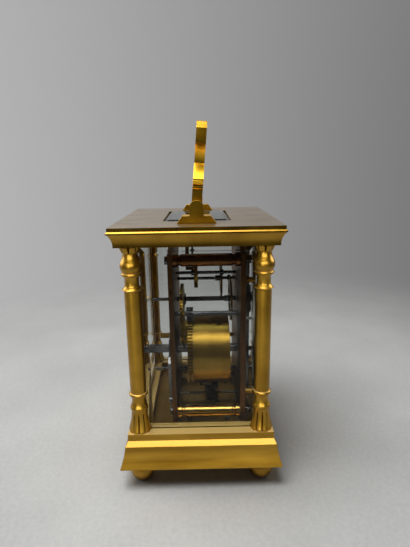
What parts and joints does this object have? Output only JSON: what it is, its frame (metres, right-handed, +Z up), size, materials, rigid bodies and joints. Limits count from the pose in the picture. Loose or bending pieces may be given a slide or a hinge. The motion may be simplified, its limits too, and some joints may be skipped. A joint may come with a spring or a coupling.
{
  "type": "carriage clock",
  "caption": "Glazed four-column carriage clock with a folding handle, rear winding door, alarm dial and a geared movement under a platform escapement.",
  "frame": {"origin": "on the table under the middle of the case", "axes": "+Z up, dial towards -Y, rear door towards +Y, +X to the right seen from the dial"},
  "size_m": [0.103, 0.085, 0.1888],
  "materials": {
    "gilt_brass": "satin gilt",
    "plate_brass": "brushed, toned brown",
    "bright_brass": "polished",
    "steel": "polished grey",
    "blued_steel": "blued",
    "clear_glass": "clear, bevelled edges",
    "white_enamel": "gloss enamel"
  },
  "bodies": {
    "case": {"base_plinth": "gilt_brass", "base_floor": "bright_brass", "feet": "gilt_brass", "column_front_left": "gilt_brass", "column_front_right": "gilt_brass", "column_rear_left": "gilt_brass", "column_rear_right": "gilt_brass", "cornice": "gilt_brass", "top_glass": "clear_glass", "left_glass": "clear_glass", "right_glass": "clear_glass", "front_glass": "clear_glass", "door_pins": "steel", "handle_bracket_left": "gilt_brass", "handle_bracket_right": "gilt_brass", "bracket_screws": "steel", "back_plate": "plate_brass", "front_plate": "plate_brass", "pillars": "plate_brass", "movement_screws": "steel", "click_spring": "steel", "dial": "white_enamel", "alarm_dial": "white_enamel", "dial_mask": "gilt_brass", "alarm_bell": "steel", "platform": "plate_brass", "escape_bridge": "plate_brass", "hairspring": "blued_steel", "balance_cock": "plate_brass"},
    "handle": {"handle": "gilt_brass"},
    "rear_door": {"door_frame": "gilt_brass", "door_glass": "clear_glass", "door_knob": "gilt_brass"},
    "centre": {"centre_arbor": "steel", "centre_wheel": "bright_brass", "cannon_pinion": "steel", "minute_hand": "blued_steel"},
    "going_barrel": {"barrel": "bright_brass", "barrel_cover": "bright_brass", "mainspring": "blued_steel"},
    "intermediate": {"intermediate_arbor": "steel", "intermediate_wheel": "bright_brass"},
    "third": {"third_arbor": "steel", "third_wheel": "bright_brass"},
    "contrate": {"contrate_arbor": "steel", "contrate_wheel": "bright_brass"},
    "escape": {"escape_arbor": "steel", "escape_wheel": "bright_brass"},
    "minute": {"minute_wheel": "bright_brass"},
    "hour": {"hour_wheel": "bright_brass", "hour_hand": "blued_steel"},
    "winding": {"barrel_arbor": "steel", "ratchet_wheel": "steel"},
    "click": {"click": "steel"},
    "lever": {"lever": "steel"},
    "balance": {"balance": "bright_brass"},
    "alarm_setting": {"alarm_arbor": "steel", "alarm_hand": "blued_steel"},
    "alarm_barrel": {"alarm_barrel": "bright_brass"},
    "alarm_hammer": {"alarm_hammer": "steel"}
  },
  "joints": [
    {"name": "handle_pivot", "type": "hinge", "parent": "case", "child": "handle", "pos_m": [0, 0, 0.14625], "axis": [1, 0, 0], "range_deg": [-100, 90]},
    {"name": "door_hinge", "type": "hinge", "parent": "case", "child": "rear_door", "pos_m": [-0.03285, 0.03295, 0.0797], "axis": [0, 0, 1], "range_deg": [0, 110]},
    {"name": "centre_spin", "type": "hinge", "parent": "case", "child": "centre", "pos_m": [0, 0, 0.0892], "axis": [0, 1, 0], "continuous": true},
    {"name": "barrel_spin", "type": "hinge", "parent": "case", "child": "going_barrel", "pos_m": [-0.013, 0, 0.0635], "axis": [0, 1, 0], "continuous": true},
    {"name": "intermediate_spin", "type": "hinge", "parent": "case", "child": "intermediate", "pos_m": [-0.019, 0, 0.0865], "axis": [0, 1, 0], "continuous": true},
    {"name": "third_spin", "type": "hinge", "parent": "case", "child": "third", "pos_m": [0.01053, 0, 0.09902], "axis": [0, 1, 0], "continuous": true},
    {"name": "contrate_spin", "type": "hinge", "parent": "case", "child": "contrate", "pos_m": [0, 0, 0.10526], "axis": [0, 1, 0], "continuous": true},
    {"name": "escape_spin", "type": "hinge", "parent": "case", "child": "escape", "pos_m": [0, 0.0033, 0.11375], "axis": [0, 0, 1], "continuous": true},
    {"name": "minute_spin", "type": "hinge", "parent": "case", "child": "minute", "pos_m": [0.0048, -0.0255, 0.08089], "axis": [0, 1, 0], "continuous": true},
    {"name": "hour_spin", "type": "hinge", "parent": "case", "child": "hour", "pos_m": [0, -0.026, 0.0892], "axis": [0, 1, 0], "continuous": true},
    {"name": "winding_spin", "type": "hinge", "parent": "case", "child": "winding", "pos_m": [-0.013, 0, 0.0635], "axis": [0, 1, 0], "continuous": true},
    {"name": "click_lift", "type": "hinge", "parent": "case", "child": "click", "pos_m": [-0.025, 0.0166, 0.0585], "axis": [0, -1, 0], "range_deg": [0, 12]},
    {"name": "lever_rock", "type": "hinge", "parent": "case", "child": "lever", "pos_m": [0, -0.0025, 0.1257], "axis": [0, 0, 1], "range_deg": [-4, 4]},
    {"name": "balance_swing", "type": "hinge", "parent": "case", "child": "balance", "pos_m": [0, -0.0092, 0.1288], "axis": [0, 0, 1], "range_deg": [-135, 135]},
    {"name": "alarm_set", "type": "hinge", "parent": "case", "child": "alarm_setting", "pos_m": [0, 0, 0.0441], "axis": [0, 1, 0], "continuous": true},
    {"name": "alarm_barrel_spin", "type": "hinge", "parent": "case", "child": "alarm_barrel", "pos_m": [0.0195, 0, 0.058], "axis": [0, 1, 0], "continuous": true},
    {"name": "hammer_swing", "type": "hinge", "parent": "case", "child": "alarm_hammer", "pos_m": [-0.0036, -0.0046, 0.0291], "axis": [0, 1, 0], "range_deg": [-12, 4]}
  ],
  "couplings": [
    {"joint": "barrel_spin", "follows": "centre_spin", "ratio": 0.027778},
    {"joint": "intermediate_spin", "follows": "centre_spin", "ratio": -0.16667},
    {"joint": "third_spin", "follows": "centre_spin", "ratio": -8},
    {"joint": "contrate_spin", "follows": "centre_spin", "ratio": 60},
    {"joint": "escape_spin", "follows": "centre_spin", "ratio": 480},
    {"joint": "minute_spin", "follows": "centre_spin", "ratio": -0.33333},
    {"joint": "hour_spin", "follows": "centre_spin", "ratio": 0.083333}
  ]
}
